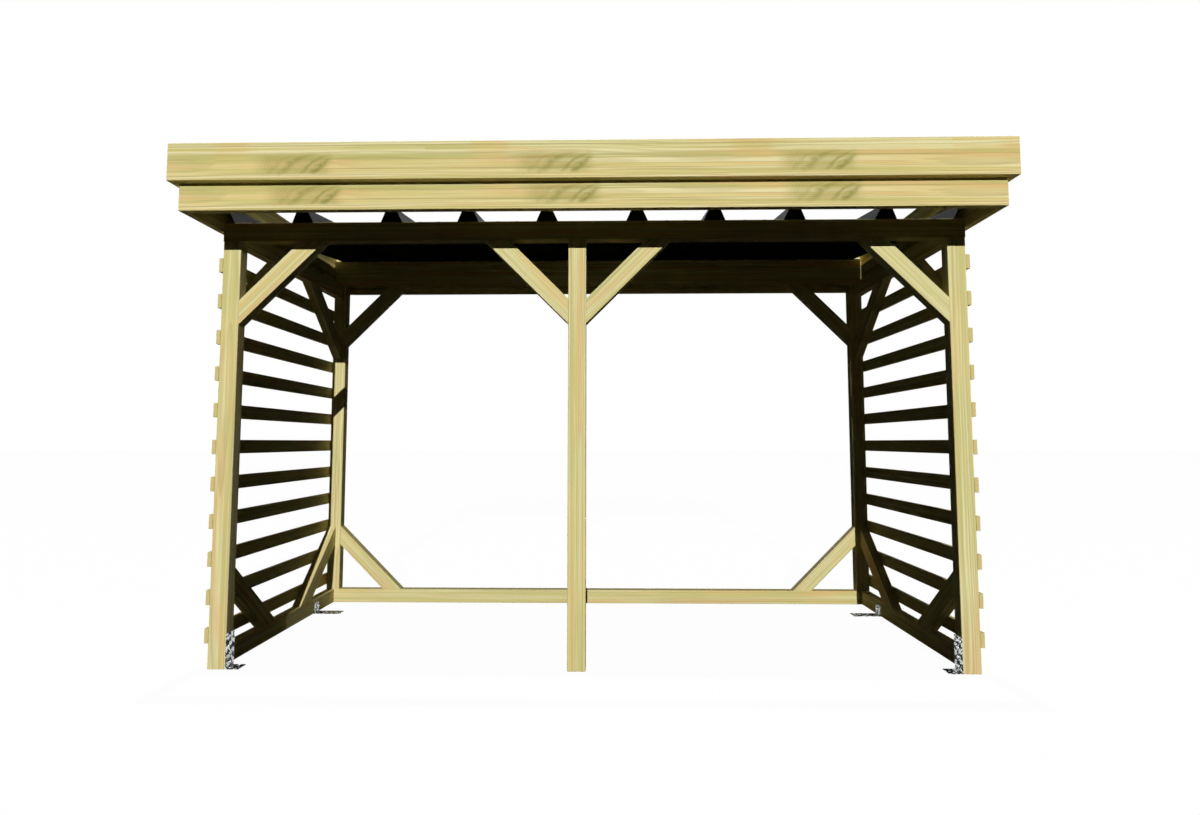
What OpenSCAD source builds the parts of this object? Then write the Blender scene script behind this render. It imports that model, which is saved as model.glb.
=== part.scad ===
// Open-fronted timber log store: three front posts and two rear posts carry a
// front and a rear beam, slatted side frames, a ribbed metal roof that falls
// towards the front, and a two-step fascia ring that hides the roof's edge.
// Units are millimetres. X is left to right, Y is front to back, Z is up, and
// the origin is on the ground at the middle of the overall footprint.

/* [Frame] */
// Width over the outer faces of the corner posts
frame_width = 3000; // [1800:10:4200]
// Depth over the front face of the front posts and the back of the rear posts
frame_depth = 985; // [600:5:1500]
// Length of every post
post_length = 1708; // [1200:1:2400]
// Width of posts, rails and braces
timber_width = 72; // [45:1:120]
// Thickness of posts, rails and braces
timber_thick = 44; // [28:1:70]
// Height of the front beam at its front edge
front_beam_height = 72; // [60:1:160]
// Height of the rear beam at its front edge
rear_beam_height = 140; // [100:1:240]
// How far the middle post stands left of the centre
mid_post_offset = 54; // [0:1:400]

/* [Braces] */
// Long leg of a brace, measured along the post or the rail it is cut to
brace_leg = 346; // [200:1:500]

/* [Slats] */
// Number of slats on each side
slat_count = 11; // [4:1:16]
// Height of a slat
slat_height = 58; // [30:1:100]
// Thickness of a slat
slat_thick = 16; // [12:1:30]
// Height of the lowest slat's bottom edge above the ground
slat_first = 98.5; // [80:0.5:200]
// Clearance between the highest slat and the lower fascia boards above it
slat_clear = 109; // [10:1:300]

/* [Fascia] */
// Thickness of the fascia boards
fascia_thick = 28; // [16:1:40]
// Height of each fascia board
fascia_height = 142; // [90:1:220]
// Height of the lower board's bottom edge above the tops of the front posts
fascia_rise = 37.5; // [0:0.5:120]
// Height of the lower board that shows below the upper one
fascia_step = 102.5; // [60:0.5:160]
// How far the lower board's outer face stands in front of the front posts
front_overhang = 215; // [60:1:400]

/* [Roof sheets] */
// Thickness of the sheet metal
sheet_thick = 0.7; // [0.5:0.1:2]
// Width each full sheet covers
sheet_cover = 1000; // [600:1:1200]
// Where the joint nearest the middle lies, right of the centre
sheet_joint = 8; // [-200:1:200]
// Distance from a sheet's left edge to its first rib
rib_first = 180; // [100:1:260]
// Distance from a sheet's left edge to its second rib
rib_second = 493; // [400:1:600]
// Distance from a sheet's left edge to its third rib
rib_third = 815; // [740:1:940]
// Height of a rib
rib_height = 59; // [20:1:66]
// Width of a rib at its base
rib_base = 88; // [60:1:120]
// Width of a rib at its crown
rib_crown = 33; // [15:1:55]
// Width of the side lap between two sheets
sheet_lap = 30; // [10:1:60]
// Gap between the sheets and the fascia beside and behind them
sheet_gap = 2; // [1:0.5:10]
// How far the sheets run out past the front face of the front beam
sheet_eave = 0; // [0:1:80]
// Width of the rib's crown that is left along the side edges of the roof
verge_width = 15; // [5:1:60]

/* [Ground brackets] */
// Length of the long leg
bracket_long = 136; // [80:1:200]
// Length of the short leg
bracket_short = 52; // [50:1:72]
// Width of a bracket
bracket_width = 48; // [30:1:70]
// Thickness of a bracket
bracket_thick = 3; // [2:0.5:6]
// Diameter of the small fixing holes
hole_small = 9; // [5:0.5:10]
// Distance from one small hole to the next in a row along a leg
hole_pitch = 18; // [13:1:30]
// Distance from the bend to the first small hole
hole_start = 12; // [9:1:20]
// Diameter of the two anchor bolt holes in the leg on the ground
hole_anchor = 11; // [6:0.5:14]
// Distance between the two anchor bolt holes
anchor_pitch = 26; // [18:1:40]
// Distance from the front face of the frame to the middle of a rear bracket
rear_bracket_at = 749; // [300:5:900]

/* [Hidden] */
// Small overshoot for clean cuts
eps = 1;
// Distance of the outer anchor hole from the end of its leg
anchor_edge = 1.2 * hole_anchor;
// Distance of the outer rows of small holes from the middle of a leg, and the
// least metal left past the last of them
hole_row = 0.3 * bracket_width;
hole_rim = 1;
// Front and rear faces of the frame, with the footprint centred on Y = 0
overall_depth = front_overhang + frame_depth + 3 * fascia_thick;
y_front = -overall_depth / 2 + front_overhang + fascia_thick;
y_rear = y_front + frame_depth;
y_rear_in = y_rear - timber_thick;
// Outer faces of the corner posts
x_out = frame_width / 2;
x_in = x_out - timber_width;
// Levels
z_rail = timber_width;
z_beam = post_length;
z_front_top = z_beam + front_beam_height;
z_rear_beam = timber_width + post_length;
z_rear_top = z_rear_beam + rear_beam_height;
z_lower = z_beam + fascia_rise;
z_upper = z_lower + fascia_step;
// Distance from one slat to the next, evenly shared out up to the fascia
slat_span = z_lower - slat_clear - slat_height - slat_first;
slat_pitch = slat_span / (slat_count - 1);
// The roof's fall, from the front edge of one beam to that of the other
fall = atan2(z_rear_top - z_front_top, y_rear_in - y_front);
// Outer faces of the two fascia rings
x_lower = x_out + fascia_thick;
x_upper = x_lower + fascia_thick;
y_lower_front = y_front - front_overhang;
y_lower_rear = y_rear + fascia_thick;
// Length of a sheet along the fall
sheet_length = (frame_depth + sheet_eave - sheet_gap) / cos(fall);
// Gap between two sheets under their lap
joint_gap = 1;
// Slope of a rib's side and the mitre of its thickness
rib_side = atan2(rib_height, (rib_base - rib_crown) / 2);
rib_mitre = tan(rib_side / 2);

wood = [0.80, 0.75, 0.53];
slat_wood = [0.76, 0.72, 0.50];
board_wood = [0.84, 0.77, 0.55];
metal_roof = [0.20, 0.21, 0.22];
metal_zinc = [0.70, 0.71, 0.72];

// ---------------------------------------------------------------- helpers

// A block given by its lowest corner and its highest corner
module block(a, b) {
    translate(a) cube(b - a);
}

// A flat shape drawn in X and Z, given thickness t along Y from y
module plate_xz(y, t) {
    translate([0, y + t, 0]) rotate([90, 0, 0]) linear_extrude(height = t)
        children();
}

// A flat shape drawn in Y and Z, given thickness t along X from x
module plate_yz(x, t) {
    translate([x, 0, 0]) rotate([90, 0, 90]) linear_extrude(height = t)
        children();
}

// One 45 degree brace outline in the corner at p; sx and sz say which way the
// two legs run
module brace_shape(p, sx, sz) {
    short = brace_leg - timber_width * sqrt(2);
    polygon([
        [p[0], p[1] + sz * short], [p[0], p[1] + sz * brace_leg],
        [p[0] + sx * brace_leg, p[1]], [p[0] + sx * short, p[1]],
    ]);
}

// ---------------------------------------------------------------- posts

module post(x, y, z) {
    color(wood)
        block([x, y, z],
              [x + timber_width, y + timber_thick, z + post_length]);
}

module post_front_left() { post(-x_out, y_front, 0); }
module post_front_mid() {
    post(-mid_post_offset - timber_width / 2, y_front, 0);
}
module post_front_right() { post(x_in, y_front, 0); }
module post_rear_left() { post(-x_out, y_rear_in, z_rail); }
module post_rear_right() { post(x_in, y_rear_in, z_rail); }

// ---------------------------------------------------------------- beams

// A beam whose top is planed to the roof's fall
module beam(y, z, h) {
    rise = timber_thick * tan(fall);
    color(wood) plate_yz(-x_out, frame_width)
        polygon([[y, z], [y + timber_thick, z],
                 [y + timber_thick, z + h + rise], [y, z + h]]);
}

module beam_front() { beam(y_front, z_beam, front_beam_height); }
module beam_rear() { beam(y_rear_in, z_rear_beam, rear_beam_height); }

// ---------------------------------------------------------------- rails

module rail_rear() {
    color(wood) block([-x_out, y_rear_in, 0], [x_out, y_rear, z_rail]);
}

// A rail of a side frame, side = -1 for the left and 1 for the right
module side_rail(side, z) {
    x = side < 0 ? -x_out : x_out - timber_thick;
    color(wood)
        block([x, y_front + timber_thick, z],
              [x + timber_thick, y_rear_in, z + timber_width]);
}

module rail_foot_left() { side_rail(-1, 0); }
module rail_foot_right() { side_rail(1, 0); }
module rail_top_left() { side_rail(-1, z_beam); }
module rail_top_right() { side_rail(1, z_beam); }

// ---------------------------------------------------------------- braces

module braces_front() {
    mid_left = -mid_post_offset - timber_width / 2;
    mid_right = mid_left + timber_width;
    color(wood) plate_xz(y_front, timber_thick) {
        brace_shape([-x_in, z_beam], 1, -1);
        brace_shape([mid_left, z_beam], -1, -1);
        brace_shape([mid_right, z_beam], 1, -1);
        brace_shape([x_in, z_beam], -1, -1);
    }
}

// The pair of braces of the rear frame at height z, running up or down by sz
module rear_pair(z, sz) {
    color(wood) plate_xz(y_rear_in, timber_thick)
        for (side = [-1, 1]) brace_shape([side * x_in, z], -side, sz);
}

module braces_rear_top() { rear_pair(z_rear_beam, -1); }
module braces_rear_foot() { rear_pair(z_rail, 1); }

// The four braces of one side frame
module side_braces(side) {
    x = side < 0 ? -x_out : x_out - timber_thick;
    y_a = y_front + timber_thick;
    color(wood) plate_yz(x, timber_thick) {
        brace_shape([y_a, z_beam], 1, -1);
        brace_shape([y_rear_in, z_beam], -1, -1);
        brace_shape([y_a, z_rail], 1, 1);
        brace_shape([y_rear_in, z_rail], -1, 1);
    }
}

module braces_side_left() { side_braces(-1); }
module braces_side_right() { side_braces(1); }

// ---------------------------------------------------------------- slats

module side_slats(side) {
    x = side < 0 ? -x_out - slat_thick : x_out;
    color(slat_wood) for (i = [0:slat_count - 1]) {
        z = slat_first + i * slat_pitch;
        block([x, y_front, z], [x + slat_thick, y_rear, z + slat_height]);
    }
}

module slats_left() { side_slats(-1); }
module slats_right() { side_slats(1); }

// ---------------------------------------------------------------- fascia

module fascia(a, b, z) {
    color(board_wood)
        block([a[0], a[1], z], [b[0], b[1], z + fascia_height]);
}

module fascia_lower_front() {
    fascia([-x_lower, y_lower_front],
           [x_lower, y_lower_front + fascia_thick], z_lower);
}
module fascia_lower_rear() {
    fascia([-x_lower, y_rear], [x_lower, y_lower_rear], z_lower);
}
module fascia_lower_left() {
    fascia([-x_lower, y_lower_front + fascia_thick], [-x_out, y_rear],
           z_lower);
}
module fascia_lower_right() {
    fascia([x_out, y_lower_front + fascia_thick], [x_lower, y_rear],
           z_lower);
}
module fascia_upper_front() {
    fascia([-x_upper, y_lower_front - fascia_thick],
           [x_upper, y_lower_front], z_upper);
}
module fascia_upper_rear() {
    fascia([-x_upper, y_lower_rear], [x_upper, y_lower_rear + fascia_thick],
           z_upper);
}
module fascia_upper_left() {
    fascia([-x_upper, y_lower_front], [-x_lower, y_lower_rear], z_upper);
}
module fascia_upper_right() {
    fascia([x_lower, y_lower_front], [x_upper, y_lower_rear], z_upper);
}

// ---------------------------------------------------------------- roof

// Points along the underside (t = 0) or the top (t = sheet_thick) of a rib
function rib_points(x, t) = let (m = rib_mitre * t) [
    [x - rib_base / 2 - m, t], [x - rib_crown / 2 - m, rib_height + t],
    [x + rib_crown / 2 + m, rib_height + t], [x + rib_base / 2 + m, t],
];

// The same for the cut rib that edges the roof, from the cut at x over w of
// its crown and down its inner side
function verge_points(x, w, t) = let (m = rib_mitre * t) [
    [x, rib_height + t], [x + w + m, rib_height + t],
    [x + w + m + (rib_base - rib_crown) / 2, t],
];

// Points with left and right exchanged
function mirrored(p) = [for (q = p) [-q[0], q[1]]];

function flat(list) = [for (part = list) for (p = part) p];
function reversed(p) = [for (i = [len(p) - 1:-1:0]) p[i]];

// Section of a sheet from its left edge x0: ribs gives the rib centres, and
// the right edge ends in a lap one sheet higher
function lapped_section(x0, x1, ribs, left) = concat(
    left ? verge_points(x0, verge_width, 0) : [[x0, 0]],
    flat([for (x = ribs) rib_points(x, 0)]),
    [[x1, 0], [x1, sheet_thick], [x1 + sheet_lap, sheet_thick],
     [x1 + sheet_lap, 2 * sheet_thick], [x1 - sheet_thick, 2 * sheet_thick],
     [x1 - sheet_thick, sheet_thick]],
    reversed(flat([for (x = ribs) rib_points(x, sheet_thick)])),
    left ? reversed(verge_points(x0, verge_width, sheet_thick))
         : [[x0, sheet_thick]]
);

// Section of the right-hand end sheet, with its verge on the right
function end_section(x0, x1, ribs) = concat(
    [[x0, 0]],
    flat([for (x = ribs) rib_points(x, 0)]),
    reversed(mirrored(verge_points(-x1, verge_width, 0))),
    mirrored(verge_points(-x1, verge_width, sheet_thick)),
    reversed(flat([for (x = ribs) rib_points(x, sheet_thick)])),
    [[x0, sheet_thick]]
);

// Lay a section, drawn as distance right and height above the beams, on the
// fall of the roof
module on_fall(points) {
    translate([0, y_front, z_front_top]) rotate([fall - 90, 0, 0])
        translate([0, 0, -sheet_eave / cos(fall)])
            linear_extrude(height = sheet_length)
                polygon([for (p = points) [p[0], -p[1]]]);
}

// Centres of the whole ribs of the sheet whose left edge would be at x0: those
// well inside the roof's outer edges
function ribs_of(x0) = [
    for (d = [rib_first, rib_second, rib_third]) let (x = x0 + d)
        if (abs(x) < x_out - 2 * rib_base) x
];

x_edge = x_out - sheet_gap;

module roof_sheet_end_left() {
    color(metal_roof)
        on_fall(lapped_section(-x_edge, sheet_joint - sheet_cover - joint_gap,
                               ribs_of(sheet_joint - 2 * sheet_cover), true));
}
module roof_sheet_left() {
    color(metal_roof)
        on_fall(lapped_section(sheet_joint - sheet_cover, sheet_joint - joint_gap,
                               ribs_of(sheet_joint - sheet_cover), false));
}
module roof_sheet_right() {
    color(metal_roof)
        on_fall(lapped_section(sheet_joint, sheet_joint + sheet_cover - joint_gap,
                               ribs_of(sheet_joint), false));
}
module roof_sheet_end_right() {
    color(metal_roof)
        on_fall(end_section(sheet_joint + sheet_cover, x_edge,
                            ribs_of(sheet_joint + sheet_cover)));
}

// ---------------------------------------------------------------- brackets

// Places along a leg of length n of a row of small holes that starts at d0
function row(n, d0) = [d0:hole_pitch:n - hole_small / 2 - hole_rim];

// Small hole positions of a leg of length n, as distance from the bend and
// distance across: two outer rows, and a staggered row between them on the
// leg that has no anchor holes
function leg_holes(n, between) = concat(
    [for (d = row(n, hole_start)) each [[d, -hole_row], [d, hole_row]]],
    [for (d = row(n, hole_start + hole_pitch / 2)) if (between) [d, 0]]
);

// An angle bracket with the corner of its bend at the origin: one leg of
// length up rises along Z on the X = 0 face and one of length out runs along
// the ground in +X
module angle_bracket(up, out) {
    w = bracket_width;
    t = bracket_thick;
    through = t + 2 * eps;
    difference() {
        translate([0, w / 2, 0]) rotate([90, 0, 0])
            linear_extrude(height = w)
                polygon([[0, 0], [out, 0], [out, t], [t, t], [t, up],
                         [0, up]]);
        for (h = leg_holes(up, true))
            translate([-eps, h[1], h[0]]) rotate([0, 90, 0])
                cylinder(d = hole_small, h = through, $fn = 48);
        for (h = leg_holes(out, false))
            translate([h[0], h[1], -eps])
                cylinder(d = hole_small, h = through, $fn = 48);
        for (k = [0, 1])
            translate([out - anchor_edge - k * anchor_pitch, 0, -eps])
                cylinder(d = hole_anchor, h = through, $fn = 48);
    }
}

module front_bracket(side) {
    color(metal_zinc)
        translate([side * x_in, y_front + bracket_width / 2, 0])
            rotate([0, 0, side < 0 ? 0 : 180])
                angle_bracket(bracket_long, bracket_short);
}

module rear_bracket(side) {
    color(metal_zinc)
        translate([side * (x_out - timber_thick), y_front + rear_bracket_at, 0])
            rotate([0, 0, side < 0 ? 0 : 180])
                angle_bracket(bracket_short, bracket_long);
}

module bracket_front_left() { front_bracket(-1); }
module bracket_front_right() { front_bracket(1); }
module bracket_rear_left() { rear_bracket(-1); }
module bracket_rear_right() { rear_bracket(1); }

// ---------------------------------------------------------------- assembly

post_front_left();
post_front_mid();
post_front_right();
post_rear_left();
post_rear_right();
beam_front();
beam_rear();
rail_rear();
rail_foot_left();
rail_foot_right();
rail_top_left();
rail_top_right();
braces_front();
braces_rear_top();
braces_rear_foot();
braces_side_left();
braces_side_right();
slats_left();
slats_right();
fascia_lower_front();
fascia_lower_rear();
fascia_lower_left();
fascia_lower_right();
fascia_upper_front();
fascia_upper_rear();
fascia_upper_left();
fascia_upper_right();
roof_sheet_end_left();
roof_sheet_left();
roof_sheet_right();
roof_sheet_end_right();
bracket_front_left();
bracket_front_right();
bracket_rear_left();
bracket_rear_right();
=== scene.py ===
"""Looks of the timber log store: planed and pressure-treated pine sticks and
boards with rounded arrises, a dark profiled steel roof and perforated zinc
brackets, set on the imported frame. Metres, Z up, the store's open front towards -Y.

Every timber is one stick: a rounded outline carried along a straight line between
two cuts. Its mesh carries a point attribute "grain", the place of the point inside
the tree it was sawn from, and the pine materials draw rings and fibres from that.
"""

import math

import bpy
import numpy as np
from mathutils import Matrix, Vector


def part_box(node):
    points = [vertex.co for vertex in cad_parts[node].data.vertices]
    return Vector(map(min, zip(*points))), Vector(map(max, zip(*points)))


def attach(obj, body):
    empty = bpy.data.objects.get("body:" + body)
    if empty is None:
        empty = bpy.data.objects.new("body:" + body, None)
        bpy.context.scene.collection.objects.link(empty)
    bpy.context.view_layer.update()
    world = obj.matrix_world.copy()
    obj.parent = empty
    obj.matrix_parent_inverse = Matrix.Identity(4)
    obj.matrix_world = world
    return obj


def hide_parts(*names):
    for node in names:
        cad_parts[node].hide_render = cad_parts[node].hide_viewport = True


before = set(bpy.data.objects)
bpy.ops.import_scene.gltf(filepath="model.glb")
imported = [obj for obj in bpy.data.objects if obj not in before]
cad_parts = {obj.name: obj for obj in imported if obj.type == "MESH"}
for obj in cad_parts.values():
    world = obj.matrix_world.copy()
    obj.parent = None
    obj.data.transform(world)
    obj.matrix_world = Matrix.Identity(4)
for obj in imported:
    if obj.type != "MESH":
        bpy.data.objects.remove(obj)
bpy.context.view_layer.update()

# ------------------------------------------------------------------ sizes

ARRIS = 0.0030  # radius of a planed stick's long edges
BOARD_ARRIS = 0.0022  # the same on the fascia boards
SLAT_ARRIS = 0.0018
END_BEVEL = 0.0012  # small bevel round a sawn end
ARC_STEPS = 4  # points on each rounded edge

SLAT_COUNT = 11
SLAT_HEIGHT = 0.058

# Trees: how far the pith lies from the middle of a stick, least and most, and how
# long a trunk the sticks are cut from
PITH_NEAR = 0.06
PITH_FAR = 0.16
TRUNK = 50
# One number for each piece, from which its sticks' trees are drawn
TREE_SEEDS = {
    "post_front_left": 12, "post_front_mid": 13, "post_front_right": 14,
    "post_rear_left": 15, "post_rear_right": 16,
    "beam_front": 17, "beam_rear": 18, "rail_rear": 31,
    "rail_foot_left": 19, "rail_foot_right": 20, "rail_top_left": 21, "rail_top_right": 22,
    "braces_front": 41, "braces_rear_top": 42, "braces_rear_foot": 43,
    "braces_side_left": 51, "braces_side_right": 52,
    "slats_left": 61, "slats_right": 62,
}
BOARD_PITH = (0.0, 0.012, 0.085)  # where a fascia board's grain starts, see stick_arrays
BOARD_PLACES = {"front": 0.0, "rear": 0.31, "left": 0.57, "right": 0.83}  # along the trunk

# The branch swirls on the fascia boards: the first one's place and their distance
SWIRL_FIRST = 0.477
SWIRL_PITCH = 0.958
# The strokes of a swirl: middle along the board, half-width and depth of tone
SWIRL_STROKES = (
    (0.058, 0.024, 0.62),
    (0.014, 0.018, 0.42),
    (-0.062, 0.034, 0.46),
    (-0.112, 0.018, 0.26),
)

UP = np.array([0.0, 0.0, 1.0])
RIGHT = np.array([1.0, 0.0, 0.0])
BACK = np.array([0.0, 1.0, 0.0])


def corners(node):
    """Lowest and highest corner of a CAD node as arrays."""
    low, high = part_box(node)
    return np.array(low), np.array(high)


# ------------------------------------------------------------------ meshes


def rounded_outline(points, radius):
    """Outline of a convex polygon with every corner turned into an arc.

    At a corner that turns by angle a, the arc touches both edges at a distance
    radius * tan(a / 2); its centre lies inside, radius away from both edges, and
    the point at share k of the arc is centre + radius * (normal turned by k * a).
    Returns the points and their outward normals, both as rows of two numbers.
    """
    points = np.asarray(points, float)
    before = points - np.roll(points, 1, axis=0)
    before /= np.linalg.norm(before, axis=1, keepdims=True)
    after = np.roll(before, -1, axis=0)
    cross = before[:, 0] * after[:, 1] - before[:, 1] * after[:, 0]
    turn = np.arctan2(cross, (before * after).sum(1))
    normal = np.stack([before[:, 1], -before[:, 0]], axis=1)
    centre = points - before * (radius * np.tan(turn / 2))[:, None] - normal * radius
    share = np.linspace(0, 1, ARC_STEPS)
    angle = np.arctan2(normal[:, 1], normal[:, 0])[:, None] + turn[:, None] * share
    out = np.stack([np.cos(angle), np.sin(angle)], axis=-1)
    return (centre[:, None] + radius * out).reshape(-1, 2), out.reshape(-1, 2)


def tube_faces(rings, around):
    """Quads between neighbouring rings of a closed tube, and its two end faces."""
    r, k = np.meshgrid(np.arange(rings - 1), np.arange(around), indexing="ij")
    n = (k + 1) % around
    near, far = r * around, (r + 1) * around
    quads = np.stack([near + k, near + n, far + n, far + k], axis=-1)
    faces = [tuple(q) for q in quads.reshape(-1, 4).tolist()]
    faces.append(tuple(range(around - 1, -1, -1)))
    faces.append(tuple(range((rings - 1) * around, rings * around)))
    return faces


def rectangle(width, thick):
    """Corners of a rectangle about its middle, counter-clockwise."""
    w, t = width / 2, thick / 2
    return [(-w, -t), (w, -t), (w, t), (-w, t)]


class Stick:
    """One sawn stick: an outline in (across, through) carried from start to end.

    across is the direction of the outline's first number, and the second number
    runs along cross(direction, across). slopes say how far each end cut moves
    along the stick for each metre across, so -1 and 1 are 45 degree mitres.
    """

    def __init__(self, start, end, across, outline, slopes=(0.0, 0.0), radius=ARRIS):
        self.start = np.asarray(start, float)
        self.end = np.asarray(end, float)
        self.across = np.asarray(across, float)
        self.outline = outline
        self.slopes = slopes
        self.radius = radius


def stick_arrays(stick, offset):
    """Vertices, faces, grain and end mask of one stick.

    A point is start + s * direction + c * across + t * through. The four rings
    are the sawn end drawn in by END_BEVEL, the full outline, the same at the far
    end, and the far sawn end; each ring's s is its cut's place plus slope * c.
    The grain is (s, c, t) plus the offset.
    """
    direction = stick.end - stick.start
    length = np.linalg.norm(direction)
    direction = direction / length
    through = np.cross(direction, stick.across)
    flat, normal = rounded_outline(stick.outline, stick.radius)
    drawn_in = flat - normal * END_BEVEL
    slope_a, slope_b = stick.slopes
    rings = [
        (drawn_in, slope_a * drawn_in[:, 0]),
        (flat, slope_a * flat[:, 0] + END_BEVEL),
        (flat, length + slope_b * flat[:, 0] - END_BEVEL),
        (drawn_in, length + slope_b * drawn_in[:, 0]),
    ]
    outline = np.concatenate([ring for ring, _ in rings])
    s = np.concatenate([along for _, along in rings])
    vertices = (
        stick.start
        + s[:, None] * direction
        + outline[:, :1] * stick.across
        + outline[:, 1:] * through
    )
    grain = np.column_stack([s, outline]) + offset
    around = len(flat)
    end = np.repeat([1.0, 0.0, 0.0, 1.0], around)
    return vertices, tube_faces(len(rings), around), grain, end


def random_tree(tree):
    """A grain offset: anywhere along the trunk, with the pith a little way off."""
    angle = tree.uniform(0, 2 * math.pi)
    far = tree.uniform(PITH_NEAR, PITH_FAR)
    return np.array([tree.uniform(0, TRUNK), far * math.cos(angle), far * math.sin(angle)])


def sawn(name, sticks, material, offset=None):
    """One piece made of several sticks, each from its own tree unless a grain
    offset is given. The piece replaces the CAD node of the same name."""
    if offset is None:
        tree = np.random.default_rng(TREE_SEEDS[name])
        offsets = [random_tree(tree) for _ in sticks]
    else:
        offsets = [offset] * len(sticks)
    parts = [stick_arrays(stick, start) for stick, start in zip(sticks, offsets)]
    mesh = joined_mesh(name, [(vertices, faces) for vertices, faces, _, _ in parts])
    grain = np.concatenate([part[2] for part in parts]).astype(np.float32)
    mesh.attributes.new("grain", "FLOAT_VECTOR", "POINT").data.foreach_set("vector", grain.ravel())
    end = np.concatenate([part[3] for part in parts]).astype(np.float32)
    mesh.attributes.new("end", "FLOAT", "POINT").data.foreach_set("value", end)
    piece = finish_piece("pine_" + name, mesh, material)
    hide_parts(name)


def joined_mesh(name, parts):
    """One mesh from several lots of vertices and faces."""
    starts = np.cumsum([0] + [len(vertices) for vertices, _ in parts]).tolist()
    vertices = np.concatenate([vertices for vertices, _ in parts])
    faces = [
        tuple(int(corner) + start for corner in face)
        for (_, part_faces), start in zip(parts, starts)
        for face in part_faces
    ]
    mesh = bpy.data.meshes.new(name)
    mesh.from_pydata(vertices.tolist(), [], faces)
    return mesh


def finish_piece(name, mesh, material, sharp=None):
    """Puts a mesh into the scene as a smooth-shaded piece that rides on the store.
    sharp is the angle in degrees past which an edge stays hard."""
    mesh.materials.append(material)
    mesh.shade_smooth()
    if sharp is not None:
        mesh.set_sharp_from_angle(angle=math.radians(sharp))
    piece = bpy.data.objects.new(name, mesh)
    bpy.context.scene.collection.objects.link(piece)
    even = piece.modifiers.new("even shading", "WEIGHTED_NORMAL")
    even.keep_sharp = True
    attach(piece, "root")
    return piece


# ------------------------------------------------------------------ materials


class Nodes:
    """Short ways to add shader nodes to one material."""

    def __init__(self, name):
        self.material = bpy.data.materials.new(name)
        self.material.use_nodes = True
        self.tree = self.material.node_tree
        self.shader = self.tree.nodes["Principled BSDF"]

    def add(self, kind, settings=None, **sockets):
        """A node of that kind with its settings. Each socket, given by its name or
        as i and its number, gets a value or a link."""
        node = self.tree.nodes.new("ShaderNode" + kind)
        for key, value in (settings or {}).items():
            setattr(node, key, value)
        for key, value in sockets.items():
            numbered = key[0] == "i" and key[1:].isdigit()
            self.put(node.inputs[int(key[1:]) if numbered else key], value)
        return node

    def put(self, socket, value):
        """Links the socket to another one, or gives it a plain value."""
        if isinstance(value, bpy.types.NodeSocket):
            self.tree.links.new(value, socket)
        else:
            socket.default_value = value

    def math(self, operation, a, b=0.0):
        return self.add("Math", {"operation": operation}, i0=a, i1=b).outputs[0]

    def times(self, a, b):
        return self.math("MULTIPLY", a, b)

    def plus(self, a, b):
        return self.math("ADD", a, b)

    def mix(self, share, a, b):
        """Colour a where the share is 0 and colour b where it is 1."""
        return self.add("Mix", {"data_type": "RGBA"}, i0=share, i6=a, i7=b).outputs[2]

    def noise(self, vector, stretch, detail=3.0, rough=0.55):
        """Noise of the vector multiplied by stretch, a scale for each direction."""
        place = self.add("VectorMath", {"operation": "MULTIPLY"}, i0=vector, i1=stretch).outputs[0]
        node = self.add("TexNoise", Vector=place, Scale=1.0, Detail=detail, Roughness=rough)
        return node.outputs[0]

    def ramp(self, value, low, high, to_low=0.0, to_high=1.0):
        """Value taken smoothly from the range low..high to the range to_low..to_high."""
        node = self.add("MapRange", {"interpolation_type": "SMOOTHSTEP"})
        for key, number in zip(range(5), (value, low, high, to_low, to_high)):
            self.put(node.inputs[key], number)
        return node.outputs[0]

    def bump(self, height, strength, distance):
        """Lets the height dent the shading: distance is the full height in metres."""
        node = self.add("Bump", Height=height, Strength=strength, Distance=distance)
        self.tree.links.new(node.outputs[0], self.shader.inputs["Normal"])


def linear(red, green, blue):
    """A colour written as 0 to 255 turned into linear light."""
    share = np.array([red, green, blue]) / 255
    light = np.where(share <= 0.04045, share / 12.92, ((share + 0.055) / 1.055) ** 2.4)
    return (*light.tolist(), 1.0)


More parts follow.
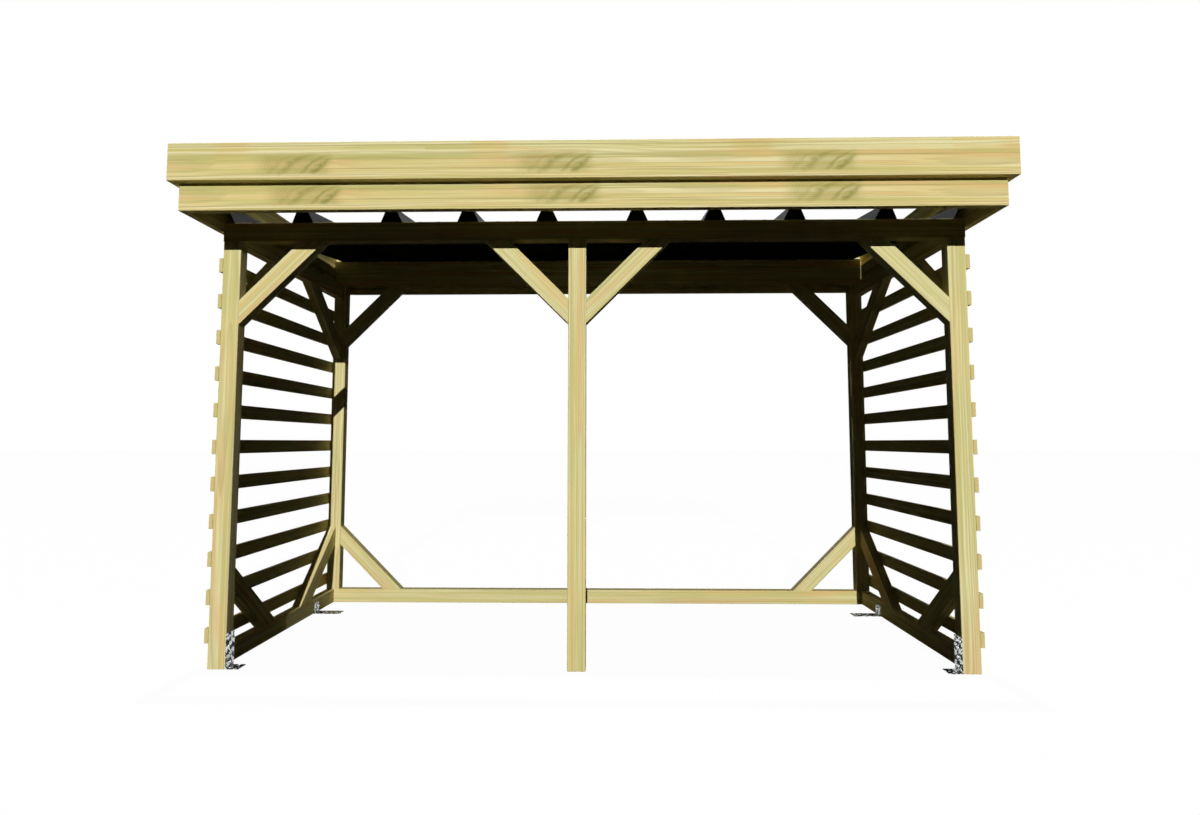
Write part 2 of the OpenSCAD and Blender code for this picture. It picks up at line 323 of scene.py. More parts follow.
def pine(name, tones, ring_width=0.0048, board=False):
    """Planed pressure-treated pine in the tones pale, warm, green and dark.

    Rings: the distance from the pith in (c, t), bent by slow noise and cut into
    years, with the dark late wood in the last part of each. Fibres and streaks:
    noise drawn out 70 to 120 times along the stick. Thin dark lines: noise drawn
    out over metres. Warm and green patches: noise about half a metre long. Sawn
    ends: the same rings on bare wood. A board also gets its long zones of tint and
    the swirls of a branch.
    """
    pale, warm, green, dark = tones
    n = Nodes(name)
    grain = n.add("Attribute", {"attribute_name": "grain"}).outputs["Vector"]
    end = n.add("Attribute", {"attribute_name": "end"}).outputs["Fac"]

    drift = n.noise(grain, (0.9, 6, 6), detail=2)
    ripple = n.noise(grain, (3.5, 60, 60), detail=2)
    bend = n.plus(n.times(drift, 0.030), n.times(ripple, 0.0022))
    parts = n.add("SeparateXYZ", Vector=grain).outputs
    flat = n.add("CombineXYZ", Y=parts[1], Z=parts[2]).outputs[0]
    pith = n.add("VectorMath", {"operation": "LENGTH"}, i0=flat).outputs["Value"]
    year = n.math("FRACT", n.math("DIVIDE", n.plus(pith, bend), ring_width))
    late = n.times(n.ramp(year, 0.30, 0.85), n.ramp(year, 1.0, 0.92))

    broad = n.noise(grain, (0.6, 42, 42), detail=2)
    streak = n.noise(grain, (0.8, 95, 95), detail=2)
    fibre = n.noise(grain, (7, 520, 520), detail=2, rough=0.6)
    patch = n.noise(grain, (2.3, 7, 7), detail=2)
    blush = n.noise(grain, (1.6, 24, 24), detail=2)
    lines = n.noise(grain, (0.30, 170, 170), detail=1)

    tint = n.mix(n.ramp(patch, 0.40, 0.60), warm, green)
    tint = n.mix(n.ramp(broad, 0.38, 0.60, 0.0, 0.80), tint, pale)
    if board:
        tint = board_zones(n, parts, broad, tint)
    tint = n.mix(n.ramp(streak, 0.50, 0.62, 0.0, 0.70), tint, green)
    tint = n.mix(n.ramp(streak, 0.47, 0.36, 0.0, 0.70), tint, pale)
    tint = n.mix(n.ramp(blush, 0.52, 0.68, 0.0, 0.55), tint, linear(228, 188, 130))
    colour = n.mix(n.times(late, n.ramp(broad, 0.35, 0.65, 0.08, 0.38)), tint, dark)
    colour = n.mix(n.ramp(lines, 0.60, 0.72, 0.0, 0.50), colour, dark)
    if board:
        colour = n.mix(branch_swirl(n, parts), colour, linear(152, 147, 80))
    colour = n.mix(n.ramp(fibre, 0.2, 0.8, 0.16, 0.0), colour, linear(120, 104, 60))
    cut = n.mix(n.times(late, 0.6), linear(212, 196, 136), linear(172, 152, 94))
    colour = n.mix(end, colour, cut)
    n.put(n.shader.inputs["Base Color"], colour)

    n.put(n.shader.inputs["Roughness"], n.ramp(fibre, 0.2, 0.8, 0.62, 0.78))
    n.shader.inputs["Specular IOR Level"].default_value = 0.01
    n.bump(n.plus(n.times(late, 0.5), n.times(fibre, 0.8)), 0.35, 0.0006)
    return n.material


def along_from_branch(n, parts):
    """Distance along the board from the nearest branch swirl: s less SWIRL_FIRST,
    wrapped to plus or minus half of SWIRL_PITCH."""
    turn = n.math("DIVIDE", n.math("SUBTRACT", parts[0], SWIRL_FIRST), SWIRL_PITCH)
    wrapped = n.math("SUBTRACT", n.math("FRACT", n.plus(turn, 0.5)), 0.5)
    return n.times(wrapped, SWIRL_PITCH)


def board_zones(n, parts, broad, tint):
    """Long zones of a fascia board: warm wood below, a pale strip above that starts
    a little before each swirl, a greenish dark band just over the middle, and a
    warm patch before each swirl. Each is a soft window in the height, and the
    strip and the patch also in the distance along the board."""
    along = along_from_branch(n, parts)
    up = n.math("SUBTRACT", parts[1], BOARD_PITH[1])
    below = n.ramp(up, 0.008, -0.010)
    tint = n.mix(n.times(below, 0.60), tint, linear(229, 209, 143))
    pale_strip = n.times(n.ramp(along, -0.19, -0.12), n.ramp(up, 0.020, 0.036))
    tint = n.mix(n.times(pale_strip, 0.65), tint, linear(225, 219, 163))
    band = n.times(n.ramp(up, 0.000, 0.008), n.ramp(up, 0.030, 0.016))
    band = n.times(band, n.ramp(broad, 0.2, 0.6, 0.35, 1.0))
    tint = n.mix(n.times(band, 0.75), tint, linear(176, 172, 106))
    warm_patch = n.times(n.ramp(along, -0.34, -0.27), n.ramp(along, -0.15, -0.20))
    warm_patch = n.times(warm_patch, n.ramp(up, -0.03, 0.015))
    return n.mix(n.times(warm_patch, 0.65), tint, linear(222, 194, 127))


def branch_swirl(n, parts):
    """Mask of the smudged figure beside a branch: broad soft strokes that lean to
    the right by 0.95 up and flatten at the top by 0.07 (up / 0.088)^8, and a fine
    hatch of sin(2 pi (along + 1.4 up) / 0.014) on the left, which leans the other
    way, all broken up by noise over a soft tint inside a soft window. Here up is
    the height over a line 60 mm under the middle of the board."""
    along = along_from_branch(n, parts)
    up = n.plus(parts[1], 0.060 - BOARD_PITH[1])
    wobble = n.noise(n.add("CombineXYZ", X=along, Y=parts[1]).outputs[0], (22, 40, 1), detail=3)
    wander = n.times(n.math("SUBTRACT", wobble, 0.5), 0.05)

    top = n.math("MAXIMUM", n.math("DIVIDE", up, 0.088), 0.0)
    lean = n.plus(n.times(up, 0.95), n.times(n.math("POWER", top, 8.0), 0.07))
    place = n.plus(n.math("SUBTRACT", along, lean), wander)
    strokes = 0.0
    for middle, reach, depth in SWIRL_STROKES:
        away = n.math("ABSOLUTE", n.math("SUBTRACT", place, middle))
        strokes = n.math("MAXIMUM", strokes, n.ramp(away, reach, 0.0, 0.0, depth))
    strokes = n.times(strokes, n.ramp(wobble, 0.30, 0.58, 0.45, 1.0))

    phase = n.times(n.plus(along, n.times(up, 1.4)), 2 * math.pi / 0.014)
    hatch = n.ramp(n.math("SINE", n.plus(phase, n.times(wobble, 9.0))), 0.1, 1.0)
    hatch = n.times(hatch, n.ramp(along, -0.03, -0.08, 0.0, 0.40))

    edge = n.plus(along, n.times(wander, 0.9))
    height = n.plus(up, n.times(wander, 0.5))
    beside = n.times(n.ramp(edge, -0.170, -0.095), n.ramp(edge, 0.155, 0.100))
    between = n.times(n.ramp(height, 0.000, 0.024), n.ramp(height, 0.098, 0.068))
    tone = n.plus(n.math("MAXIMUM", strokes, hatch), n.ramp(along, -0.15, 0.06, 0.26, 0.42))
    return n.times(tone, n.times(beside, between))


def coated_steel(name, tone, dust, rough, shine):
    """Coated steel: dark paint with faint streaks and clouds of dust on it and the
    fine dimples of sprayed paint. Rough is the roughness of its cleanest
    streaks, and shine its specular level."""
    n = Nodes(name)
    place = n.add("TexCoord").outputs["Object"]
    streak = n.noise(place, (55, 1.2, 3), detail=4)
    cloud = n.noise(place, (3.5, 3.5, 3.5), detail=3)
    orange_peel = n.noise(place, (900, 900, 900), detail=1)
    colour = n.mix(n.ramp(streak, 0.35, 0.75, 0.0, 0.30), tone, dust)
    colour = n.mix(n.ramp(cloud, 0.45, 0.75, 0.0, 0.25), colour, dust)
    n.put(n.shader.inputs["Base Color"], colour)
    n.put(n.shader.inputs["Roughness"], n.ramp(streak, 0.3, 0.8, rough, rough + 0.2))
    n.shader.inputs["Specular IOR Level"].default_value = shine
    n.bump(orange_peel, 0.05, 0.0003)
    return n.material


def closure_foam(name):
    """Closed-cell foam: almost black, with fine cells that dent its cut faces."""
    n = Nodes(name)
    place = n.add("TexCoord").outputs["Object"]
    cells = n.noise(place, (420, 420, 420), detail=2)
    n.put(n.shader.inputs["Base Color"], n.mix(cells, linear(14, 14, 14), linear(24, 24, 23)))
    n.shader.inputs["Roughness"].default_value = 0.95
    n.shader.inputs["Specular IOR Level"].default_value = 0.0
    n.bump(cells, 0.2, 0.0008)
    return n.material


def zinc(name, pale, shade, rough):
    """Galvanised steel: metal with crystal patches about 8 mm wide, some bright and most dull, and
    handling marks that dull it further. With the brackets' near-black shade and near-white pale colours
    the patches are only partly spangle: the dull ones are painted shade and the bright ones painted
    glints."""
    n = Nodes(name)
    place = n.add("TexCoord").outputs["Object"]
    zinc_cells = n.add("TexVoronoi", {"feature": "F1"}, Vector=place, Scale=130).outputs["Color"]
    spangle_and_glints = n.add("SeparateColor", Color=zinc_cells).outputs[0]
    smear = n.noise(place, (40, 40, 40), detail=4)
    # Dull and bright patches; on the brackets these are painted shade and painted glints as well as
    # spangle
    colour = n.mix(n.ramp(spangle_and_glints, 0.50, 0.75), shade, pale)
    colour = n.mix(n.ramp(smear, 0.5, 0.75, 0.0, 0.4), colour, shade)
    n.put(n.shader.inputs["Base Color"], colour)
    n.shader.inputs["Metallic"].default_value = 1.0
    n.put(n.shader.inputs["Roughness"], n.ramp(smear, 0.3, 0.8, rough - 0.06, rough + 0.16))
    n.bump(spangle_and_glints, 0.08, 0.0002)
    return n.material


# Pale, warm, green and dark wood
FRAME_TONES = (linear(231, 225, 172), linear(223, 202, 136), linear(206, 199, 131), linear(160, 142, 86))
SLAT_TONES = (linear(229, 223, 172), linear(222, 201, 138), linear(206, 199, 133), linear(160, 142, 86))
BOARD_TONES = (linear(235, 227, 176), linear(228, 204, 138), linear(199, 193, 120), linear(160, 142, 84))


# ------------------------------------------------------------------ timber frame


def upright(node):
    """A post as one stick from its foot to its top."""
    low, high = corners(node)
    middle = (low + high) / 2
    start = np.array([middle[0], middle[1], low[2]])
    end = np.array([middle[0], middle[1], high[2]])
    return Stick(start, end, RIGHT, rectangle(high[0] - low[0], high[1] - low[1]))


def along_x(node, radius=ARRIS):
    """A level stick that runs from left to right; across is up."""
    low, high = corners(node)
    middle = (low + high) / 2
    start = np.array([low[0], middle[1], middle[2]])
    end = np.array([high[0], middle[1], middle[2]])
    return Stick(start, end, UP, rectangle(high[2] - low[2], high[1] - low[1]), radius=radius)


def along_y(node, radius=ARRIS):
    """A level stick that runs from front to back; across is up."""
    low, high = corners(node)
    middle = (low + high) / 2
    start = np.array([middle[0], low[1], middle[2]])
    end = np.array([middle[0], high[1], middle[2]])
    return Stick(start, end, UP, rectangle(high[2] - low[2], high[0] - low[0]), radius=radius)


def planed_beam(node):
    """A beam whose top is planed to the roof's fall: its outline is a rectangle
    with the rear top corner raised to the box's top and the front one lower by
    thickness * fall."""
    low, high = corners(node)
    thick = high[1] - low[1]
    tall = high[2] - low[2]
    front_top = tall - thick * roof_fall()
    start = np.array([low[0], (low[1] + high[1]) / 2, low[2]])
    end = np.array([high[0], start[1], low[2]])
    # Across is up, and through is cross(+X, up) = -Y, so the front edge is at +thick / 2
    outline = [(0, -thick / 2), (tall, -thick / 2), (front_top, thick / 2), (0, thick / 2)]
    return Stick(start, end, UP, outline[::-1])


def roof_fall():
    """Rise of the roof for each metre towards the back. Both beams' rear top edges
    lie in the roof's plane, so it is their rise over their distance."""
    _, front, front_top = corners("beam_front")[1]
    _, rear, rear_top = corners("beam_rear")[1]
    return (rear_top - front_top) / (rear - front)


def brace(corner, rail_way, post_way, leg, width, thick):
    """A 45 degree brace in a corner, which reaches leg along the post and along the
    rail. Its middle line meets each of them half-way across its cut end."""
    rail_way = np.asarray(rail_way, float)
    post_way = np.asarray(post_way, float)
    middle_leg = leg - width / math.sqrt(2)
    start = corner + post_way * middle_leg
    end = corner + rail_way * middle_leg
    across = (rail_way + post_way) / math.sqrt(2)
    return Stick(start, end, across, rectangle(width, thick), slopes=(-1.0, 1.0))


def build_frame():
    """Posts, beams, rails and braces."""
    wood = pine("pine_frame", FRAME_TONES)
    for place in ("front_left", "front_mid", "front_right", "rear_left", "rear_right"):
        sawn("post_" + place, [upright("post_" + place)], wood)
    for node in ("beam_front", "beam_rear"):
        sawn(node, [planed_beam(node)], wood)
    sawn("rail_rear", [along_x("rail_rear")], wood)
    for node in ("rail_foot_left", "rail_foot_right", "rail_top_left", "rail_top_right"):
        sawn(node, [along_y(node)], wood)
    build_braces(wood)


def build_braces(wood):
    """Braces between posts and beams or rails: four in front, four at the back and
    four on each side, all with the posts' section and the same legs."""
    post_low, post_high = corners("post_front_left")
    width = post_high[0] - post_low[0]
    thick = post_high[1] - post_low[1]
    braces_low, braces_high = corners("braces_front")
    leg = braces_high[2] - braces_low[2]
    y_front = (post_low[1] + post_high[1]) / 2
    mid_low, mid_high = corners("post_front_mid")
    beam_z = corners("beam_front")[0][2]
    right_in = corners("post_front_right")[0][0]
    front = [
        brace(np.array([x, y_front, beam_z]), way * RIGHT, -UP, leg, width, thick)
        for x, way in ((post_high[0], 1), (mid_low[0], -1), (mid_high[0], 1), (right_in, -1))
    ]
    sawn("braces_front", front, wood)

    rear_low, rear_high = corners("post_rear_left")
    y_rear = (rear_low[1] + rear_high[1]) / 2
    for node, z, way in (("braces_rear_top", rear_high[2], -UP), ("braces_rear_foot", rear_low[2], UP)):
        pair = [
            brace(np.array([-side * right_in, y_rear, z]), side * RIGHT, way, leg, width, thick)
            for side in (1, -1)
        ]
        sawn(node, pair, wood)

    for node, rail in (("braces_side_left", "rail_top_left"), ("braces_side_right", "rail_top_right")):
        low, high = corners(rail)
        x = (low[0] + high[0]) / 2
        four = [
            brace(np.array([x, y, z]), y_way * BACK, z_way * UP, leg, width, thick)
            for y, y_way in ((low[1], 1), (high[1], -1))
            for z, z_way in ((low[2], -1), (width, 1))
        ]
        sawn(node, four, wood)


def build_slats():
    """The slats on both sides, each with its own grain."""
    wood = pine("pine_slats", SLAT_TONES, ring_width=0.0036)
    for node in ("slats_left", "slats_right"):
        low, high = corners(node)
        x = (low[0] + high[0]) / 2
        thick = high[0] - low[0]
        bottoms = np.linspace(low[2], high[2] - SLAT_HEIGHT, SLAT_COUNT)
        slats = [
            Stick((x, low[1], z), (x, high[1], z), UP, rectangle(SLAT_HEIGHT, thick), radius=SLAT_ARRIS)
            for z in bottoms + SLAT_HEIGHT / 2
        ]
        sawn(node, slats, wood)


def build_fascia():
    """The two rings of boards, cut alike from one trunk, each side of the store
    from another place along it."""
    wood = pine("pine_boards", BOARD_TONES, ring_width=0.0065, board=True)
    for ring in ("upper", "lower"):
        for part, place in BOARD_PLACES.items():
            node = f"fascia_{ring}_{part}"
            make = along_x if part in ("front", "rear") else along_y
            offset = np.array(BOARD_PITH) + (place, 0, 0)
            sawn(node, [make(node, BOARD_ARRIS)], wood, offset)


# ------------------------------------------------------------------ metal

BRACKET_THICK = 0.003
# Holes in the brackets' upright legs: how far the outer columns stand from the
# middle, the lowest hole's height and the distance between rows
HOLE_COLUMN = 0.0144
HOLE_LOWEST = 0.012
HOLE_ROW = 0.018
# Holes that have a screw, as (column, row): a zigzag in the outer columns and every
# other hole of the middle one, whose rows stand between theirs
SCREWED_LONG = [(1 if row % 2 else -1, row) for row in range(7)] + [(0, 0.5), (0, 2.5), (0, 4.5)]
SCREWED_SHORT = [(-1, 0), (1, 1), (-1, 1)]
SLAT_SCREWS = (0.27, 0.73)  # heights of the two screws in a slat's end, as shares

SHEET = 0.0007  # thickness of the roof sheets
BEND = 0.0035  # radius of the bends in the sheets' underside
BEND_STEPS = 5
RIB_HEIGHT = 0.059
RIB_BASE = 0.088
RIB_CROWN = 0.033
VERGE = 0.015  # crown left on the cut ribs along both sides of the roof
LAP = 0.030
RIBS = (0.180, 0.493, 0.815)  # rib centres from a sheet's left edge
SHEET_COVER = 1.000
SHEET_JOINT = 0.008
SWAGE = 0.0022  # height of the small stiffening ridges in the pans
SWAGE_WIDTH = 0.022
SWAGE_SHAPE = ((-0.5, 0), (-0.2, 1), (0.2, 1), (0.5, 0))
SWAGED_PAN = 0.15  # least width of a pan that has swages
JOINT_GAP = 0.001
SCREW_LINES = (0.022, 0.48, 0.963)  # level distances of the roof screws from the eave
CLOSURE = (0.945, 0.975)  # the same for the two faces of the rib closures
CLOSURE_GAPS = (0.0010, 0.0008, 0.0005)  # beside its crown, beside its foot and over it


def dress_cad(prefix, material, edge):
    """Gives the CAD nodes whose names start with the prefix a material and, after a
    weld, a fine bevel on their edges."""
    for name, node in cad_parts.items():
        if not name.startswith(prefix):
            continue
        node.data.materials.clear()
        node.data.materials.append(material)
        weld = node.modifiers.new("weld", "WELD")
        weld.merge_threshold = 0.00001
        bevel = node.modifiers.new("edge", "BEVEL")
        bevel.width = edge
        bevel.segments = 2
        bevel.limit_method = "ANGLE"
        bevel.angle_limit = math.radians(40)


def bent_line(points, radius):
    """An open line through the points with every inner corner turned into an arc
    of that radius, or of the one that takes up 0.45 of the shorter neighbour. At a
    corner that turns by angle a, the arc starts radius * tan(a / 2) before it, and
    its point at share k of the arc is start + radius * (sin(k a) * way before the
    corner + (1 - cos(k a)) * way to the inside of the bend)."""
    points = np.asarray(points, float)
    step = np.diff(points, axis=0)
    length = np.linalg.norm(step, axis=1)
    step /= length[:, None]
    before, after = step[:-1], step[1:]
    cross = before[:, 0] * after[:, 1] - before[:, 1] * after[:, 0]
    turn = np.arctan2(cross, (before * after).sum(1))
    half = np.tan(np.abs(turn) / 2)
    radii = np.minimum(radius, 0.45 * np.minimum(length[:-1], length[1:]) / half)
    start = points[1:-1] - before * (radii * half)[:, None]
    inside = np.stack([-before[:, 1], before[:, 0]], axis=1) * np.sign(turn)[:, None]
    angle = np.abs(turn)[:, None] * np.linspace(0, 1, BEND_STEPS)
    walk = (
        start[:, None]
        + before[:, None] * (radii[:, None] * np.sin(angle))[..., None]
        + inside[:, None] * (radii[:, None] * (1 - np.cos(angle)))[..., None]
    )
    return np.concatenate([points[:1], walk.reshape(-1, 2), points[-1:]])


def sheet_line(left, right, ribs, verge_left, verge_right):
    """Underside of a sheet across the fall as (right, up) pairs: pans with two
    small swages each between ribs, each rib a trapezium, at a verge half a rib that
    ends on its crown, and at a joint a step up and the lap over the next sheet."""
    slope = (RIB_BASE - RIB_CROWN) / 2
    line = [(left, 0)]
    if verge_left:
        line = [(left, RIB_HEIGHT), (left + VERGE, RIB_HEIGHT), (left + VERGE + slope, 0)]
    last = right - VERGE - slope if verge_right else right - JOINT_GAP
    for pan_end in [rib - RIB_BASE / 2 for rib in ribs] + [last]:
        pan_start = line[-1][0]
        if pan_end - pan_start > SWAGED_PAN:
            for share in (1 / 3, 2 / 3):
                middle = pan_start + share * (pan_end - pan_start)
                line += [(middle + across * SWAGE_WIDTH, up * SWAGE) for across, up in SWAGE_SHAPE]
        line.append((pan_end, 0))
        if pan_end < last:
            crown = pan_end + slope
            line += [(crown, RIB_HEIGHT), (crown + RIB_CROWN, RIB_HEIGHT), (pan_end + RIB_BASE, 0)]
    if verge_right:
        line += [(right - VERGE, RIB_HEIGHT), (right, RIB_HEIGHT)]
    else:
        line += [(right, SHEET), (right + LAP - JOINT_GAP, SHEET)]
    return line


def build_slat_screws():
    """Countersunk heads on the slats over the posts, two at each end of a slat."""
    head = [(0.0042, -0.0004), (0.0042, 0.0001), (0.0036, 0.0003), (0.0019, 0.0003), (0.0015, -0.0004)]
    front_low, front_high = corners("post_front_left")
    rear_low, rear_high = corners("post_rear_left")
    rows = ((front_low[1] + front_high[1]) / 2, (rear_low[1] + rear_high[1]) / 2)
    places, axes = [], []
    for node, side in (("slats_left", -1), ("slats_right", 1)):
        low, high = corners(node)
        face = low[0] if side < 0 else high[0]
        for bottom in np.linspace(low[2], high[2] - SLAT_HEIGHT, SLAT_COUNT):
            for y in rows:
                for share in SLAT_SCREWS:
                    places.append((face, y, bottom + share * SLAT_HEIGHT))
                    axes.append(side * RIGHT)
    yellow = zinc("yellow_zinc", linear(206, 186, 128), linear(150, 132, 84), 0.38)
    fasteners("slat_screws", head, 12, places, axes, yellow)


def build_bracket_screws():
    """Domed heads in some of the holes of the brackets' upright legs."""
    head = [
        (0.0068, 0.0), (0.0066, 0.0012), (0.0050, 0.0026),
        (0.0026, 0.0033), (0.0020, 0.0033), (0.0016, 0.0020),
    ]
    places, axes = [], []
    for row, holes in (("front", SCREWED_LONG), ("rear", SCREWED_SHORT)):
        for end, side in (("left", 1), ("right", -1)):
            low, high = corners(f"bracket_{row}_{end}")
            face = (low[0] if side > 0 else high[0]) + side * BRACKET_THICK
            middle = (low[1] + high[1]) / 2
            for column, up in holes:
                places.append((face, middle + column * HOLE_COLUMN, HOLE_LOWEST + up * HOLE_ROW))
                axes.append(side * RIGHT)
    bright = zinc("screw_zinc", linear(226, 228, 230), linear(196, 198, 200), 0.25)
    fasteners("bracket_screws", head, 14, places, axes, bright)


def roof_plane():
    """The plane that the sheets lie on: its lower end over the front beam, its
    direction up the fall, and its normal."""
    low, high = corners("beam_front")
    angle = math.atan(roof_fall())
    eave = np.array([0.0, low[1], high[2] - roof_fall() * (high[1] - low[1])])
    fall = np.array([0.0, math.cos(angle), math.sin(angle)])
    return eave, fall, np.array([0.0, -fall[2], fall[1]])


def sheet_arrays(line, length):
    """A sheet: its underside line, given as (right, up) pairs, and the same line
    moved out by SHEET, both carried up the fall in two lengths. A point is eave +
    right * X + up * normal + distance * fall. The faces are the skin, all round the
    outline in the first length and then in the second, and after that the two cut
    ends."""
    eave, fall, normal = roof_plane()
    tangent = np.gradient(line, axis=0)
    tangent /= np.linalg.norm(tangent, axis=1, keepdims=True)
    top = line + SHEET * np.stack([-tangent[:, 1], tangent[:, 0]], axis=1)
    outline = np.concatenate([line, top[::-1]])
    flat = eave + outline[:, :1] * RIGHT + outline[:, 1:] * normal
    vertices = np.concatenate([flat + distance * fall for distance in (0.0, length / 2, length)])
    around, count = len(outline), len(line)
    skin = [face[::-1] for face in tube_faces(3, around)[:-2]]
    k = np.arange(count - 1)
    cap = np.stack([k, k + 1, around - 2 - k, around - 1 - k], axis=1)
    ends = np.concatenate([cap, cap[:, ::-1] + 2 * around])
    return vertices, skin + [tuple(face) for face in ends.tolist()]


def build_roof():
    """The four profiled sheets, with what holds and closes them. Each is dull grey
    below and coated above."""
    coat = coated_steel("roof_coat", linear(38, 39, 41), linear(80, 80, 77), 0.50, 0.10)
    primer = coated_steel("roof_primer", linear(44, 45, 44), linear(60, 60, 56), 0.70, 0.0)
    fall = roof_plane()[1]
    low, high = corners("roof_sheet_left")
    length = (high[1] - low[1] - (RIB_HEIGHT + SHEET) * fall[2]) / fall[1]
    edge_left = corners("roof_sheet_end_left")[0][0]
    edge_right = corners("roof_sheet_end_right")[1][0]
    # Left edge, right edge and where a whole sheet's left edge would be
    joint = SHEET_JOINT - SHEET_COVER
    sheets = {
        "roof_sheet_end_left": (edge_left, joint, joint - SHEET_COVER),
        "roof_sheet_left": (joint, SHEET_JOINT, joint),
        "roof_sheet_right": (SHEET_JOINT, SHEET_JOINT + SHEET_COVER, SHEET_JOINT),
        "roof_sheet_end_right": (SHEET_JOINT + SHEET_COVER, edge_right, SHEET_JOINT + SHEET_COVER),
    }
    crowns = []
    for node, (left, right, start) in sheets.items():
        ribs = [start + rib for rib in RIBS if abs(start + rib) < edge_right - 2 * RIB_BASE]
        crowns += ribs
        line = bent_line(sheet_line(left, right, ribs, left == edge_left, right == edge_right), BEND)
        mesh = joined_mesh(node, [sheet_arrays(line, length)])
        piece = finish_piece("coated_" + node, mesh, primer, sharp=50)
        mesh.materials.append(coat)
        # In each length of the skin the first half of the faces is the underside
        around = 2 * len(line)
        coated = np.zeros(len(mesh.polygons), dtype=np.int32)
        coated[: 2 * around] = np.arange(2 * around) % around >= len(line)
        mesh.polygons.foreach_set("material_index", coated)
        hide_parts(node)
    build_roof_screws(crowns)
    build_rib_closures(crowns)


def build_roof_screws(crowns):
    """A screw with its washer on every whole rib, over each beam and about half-way
    between them; crowns are the ribs' places from left to right."""
    head = [
        (0.0098, 0.0), (0.0098, 0.0012), (0.0056, 0.0024),
        (0.0044, 0.0026), (0.0044, 0.0062), (0.0034, 0.0068),
    ]
    eave, fall, normal = roof_plane()
    places = [
        eave + x * RIGHT + (RIB_HEIGHT + SHEET) * normal + level / fall[1] * fall
        for x in crowns
        for level in SCREW_LINES
    ]
    steel = coated_steel("roof_screw_coat", linear(62, 64, 66), linear(98, 98, 96), 0.32, 0.4)
    fasteners("roof_screws", head, 12, places, [normal] * len(places), steel)


def build_rib_closures(crowns):
    """A foam closure in every whole rib over the rear beam: the rib's trapezium, a
    little smaller, carried up the fall."""
    eave, fall, _ = roof_plane()
    crown, foot, tall = np.array([RIB_CROWN / 2, RIB_BASE / 2, RIB_HEIGHT]) - CLOSURE_GAPS
    hollow = [(-crown, -tall), (crown, -tall), (foot, 0.0), (-foot, 0.0)]
    parts = []
    for x in crowns:
        near, far = (eave + x * RIGHT + level / fall[1] * fall for level in CLOSURE)
        parts.append(stick_arrays(Stick(near, far, RIGHT, hollow, radius=0.002), np.zeros(3))[:2])
    mesh = joined_mesh("rib_closures", parts)
    finish_piece("rib_closures", mesh, closure_foam("closure_foam"), sharp=40)


def turned(profile, around, place, axis):
    """Vertices and faces of a profile of (radius, height) pairs turned about an
    axis at a place: place + radius * (cos a * u + sin a * v) + height * axis. The
    last pair closes it with a flat face."""
    u = np.cross(axis, RIGHT if abs(axis[0]) < 0.5 else BACK)
    u /= np.linalg.norm(u)
    v = np.cross(axis, u)
    angle = np.linspace(0, 2 * math.pi, around, endpoint=False)
    ring = np.cos(angle)[:, None] * u + np.sin(angle)[:, None] * v
    radius, height = np.array(profile).T
    points = np.asarray(place) + radius[:, None, None] * ring + height[:, None, None] * axis
    return points.reshape(-1, 3), tube_faces(len(profile), around)


def fasteners(name, profile, around, places, axes, material):
    """One piece with the same turned head at every place."""
    heads = [turned(profile, around, place, axis) for place, axis in zip(places, axes)]
    finish_piece(name, joined_mesh(name, heads), material, sharp=35)


# ------------------------------------------------------------------ stage

FLOOR_GLOW = 0.97  # share of the floor that glows white; the rest shows the shadow
FILL = 0.004  # light from all round
KEY_PLACE = np.array([1.442, -45.55, 17.64])
KEY_STRENGTH = 3.3
KEY_RADIUS = 0.12
# The side suns stand exactly level: what comes in between the slats of one side
# goes out between those of the other, and the inside stays dark. The top sun
# leans a little, so that it doesn't shine into the gap behind the roof.
SUNS = (
    # name, azimuth, elevation, strength
    ("left fill", -90, 0, 2.4),
    ("right fill", 90, 0, 2.4),
    ("rear fill", 180, 0, 1.5),
    ("top fill", 180, 88.5, 1.6),
)
SUN_ANGLE = 0.02  # in degrees: sharp shadows and level light

LENS = 17.142  # in millimetres, as is the sensor's width
SENSOR = 36.0
CAMERA_PLACE = (0.0752, -2.6646, 0.8875)
CAMERA_TILT = 93.45  # in degrees, where 90 looks level
CAMERA_TURN = 0.94  # to the left


def build_stage():
    """White floor that fades into the backdrop and keeps a soft shadow. Light that
    bounces finds it almost black, so the timber's undersides stay dark."""
    mesh = bpy.data.meshes.new("floor")
    reach, level = 60.0, -0.001
    square = rectangle(2 * reach, 2 * reach)
    mesh.from_pydata([(x, y, level) for x, y in square], [], [(0, 1, 2, 3)])
    floor = bpy.data.objects.new("floor", mesh)
    bpy.context.scene.collection.objects.link(floor)
    n = Nodes("floor_white")
    n.tree.nodes.remove(n.shader)
    rays = n.add("LightPath").outputs
    seen = n.math("MAXIMUM", rays["Is Camera Ray"], rays["Is Glossy Ray"])
    seen = n.math("MAXIMUM", seen, rays["Is Transmission Ray"])
    matte = n.add("BsdfDiffuse", Color=n.mix(seen, linear(14, 14, 13), linear(250, 250, 250))).outputs[0]
    glow = n.add("Emission", Color=(1, 1, 1, 1), Strength=1.0).outputs[0]
    mixed = n.add("MixShader", i0=n.times(seen, FLOOR_GLOW), i1=matte, i2=glow).outputs[0]
    n.put(n.tree.nodes["Material Output"].inputs["Surface"], mixed)
    mesh.materials.append(n.material)


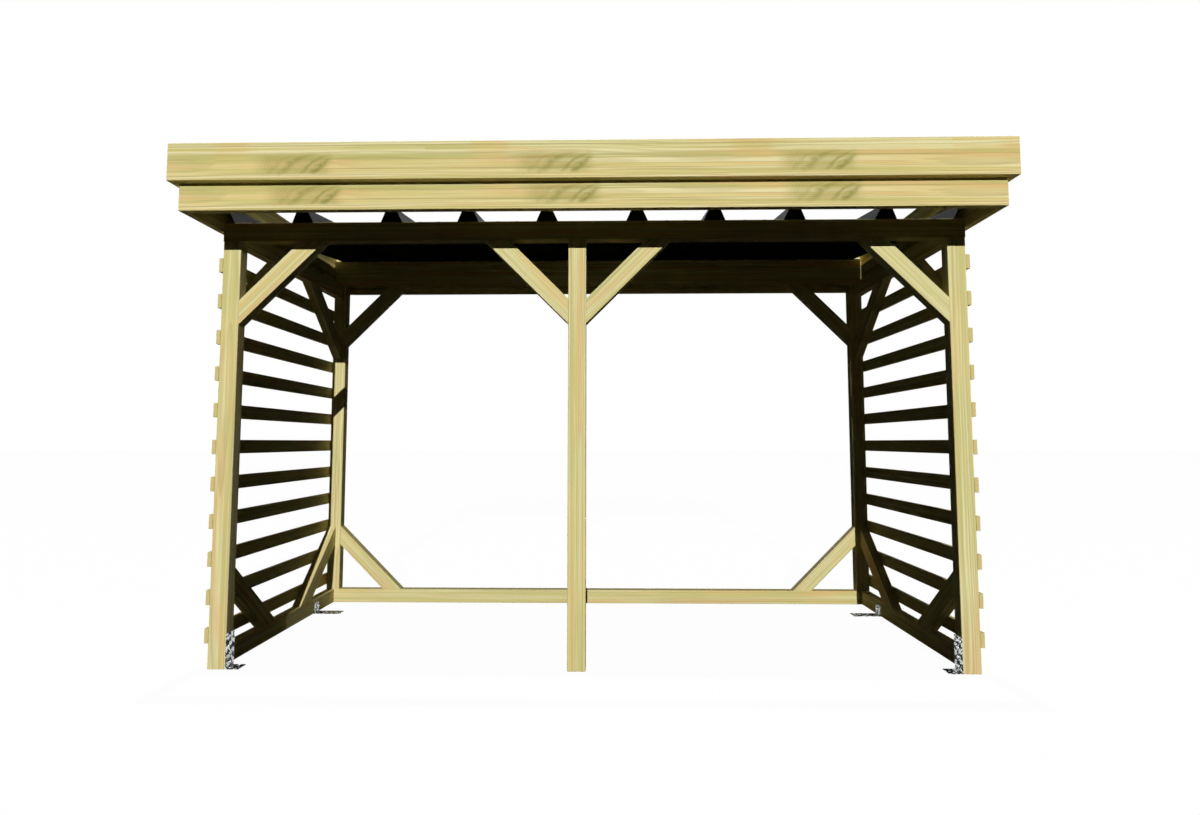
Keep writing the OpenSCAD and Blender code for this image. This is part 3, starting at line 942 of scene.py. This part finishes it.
def build_world():
    """A trace of plain light all round; the camera, reflections and glass see white."""
    world = bpy.data.worlds.new("studio")
    world.use_nodes = True
    tree = world.node_tree
    back = tree.nodes["Background"]
    back.inputs["Color"].default_value = (1, 1, 1, 1)
    rays = tree.nodes.new("ShaderNodeLightPath").outputs
    seen = rays["Is Camera Ray"]
    for ray in ("Is Glossy Ray", "Is Transmission Ray"):
        either = tree.nodes.new("ShaderNodeMath")
        either.operation = "MAXIMUM"
        tree.links.new(seen, either.inputs[0])
        tree.links.new(rays[ray], either.inputs[1])
        seen = either.outputs[0]
    strength = tree.nodes.new("ShaderNodeMapRange")
    tree.links.new(seen, strength.inputs["Value"])
    strength.inputs["To Min"].default_value = FILL
    strength.inputs["To Max"].default_value = 1.0
    tree.links.new(strength.outputs[0], back.inputs["Strength"])
    bpy.context.scene.world = world


def sun(name, azimuth, elevation, strength):
    """A sun lamp. Azimuth 0 shines from the front, 90 from the right, and elevation
    90 from overhead, in degrees. Strength is in watts for each square metre."""
    light = bpy.data.lights.new(name, "SUN")
    light.energy = strength
    light.angle = math.radians(SUN_ANGLE)
    lamp = bpy.data.objects.new(name, light)
    lamp.rotation_euler = (math.radians(90 - elevation), 0, math.radians(azimuth))
    bpy.context.scene.collection.objects.link(lamp)


def key_lamp():
    """A round lamp high in front and a long way off, whose shadows spread a little.
    Its power is strength * 4 pi * distance^2, the strength being what it gives at
    the store, in watts for each square metre."""
    light = bpy.data.lights.new("key", "POINT")
    light.energy = KEY_STRENGTH * 4 * math.pi * float(KEY_PLACE @ KEY_PLACE)
    light.shadow_soft_size = KEY_RADIUS
    lamp = bpy.data.objects.new("key", light)
    lamp.location = KEY_PLACE
    bpy.context.scene.collection.objects.link(lamp)


def build_camera():
    """Low wide-angle view from the open front."""
    camera = bpy.data.cameras.new("camera")
    camera.lens = LENS
    camera.sensor_width = SENSOR
    camera.sensor_fit = "HORIZONTAL"
    holder = bpy.data.objects.new("camera", camera)
    holder.location = CAMERA_PLACE
    holder.rotation_euler = (math.radians(CAMERA_TILT), 0, math.radians(CAMERA_TURN))
    bpy.context.scene.collection.objects.link(holder)
    bpy.context.scene.camera = holder


# ------------------------------------------------------------------ whole scene

build_camera()
build_frame()
build_slats()
build_fascia()
build_roof()
build_slat_screws()
build_bracket_screws()
# Bracket zinc: its near-black patches are painted shade and its near-white patches painted glints,
# partly real spangle
dress_cad("bracket", zinc("zinc_painted_shade_and_glints", linear(215, 218, 220), linear(40, 42, 44), 0.34), 0.0004)
build_stage()
build_world()
key_lamp()
for lamp in SUNS:
    sun(*lamp)
bpy.context.scene.view_settings.view_transform = "Standard"
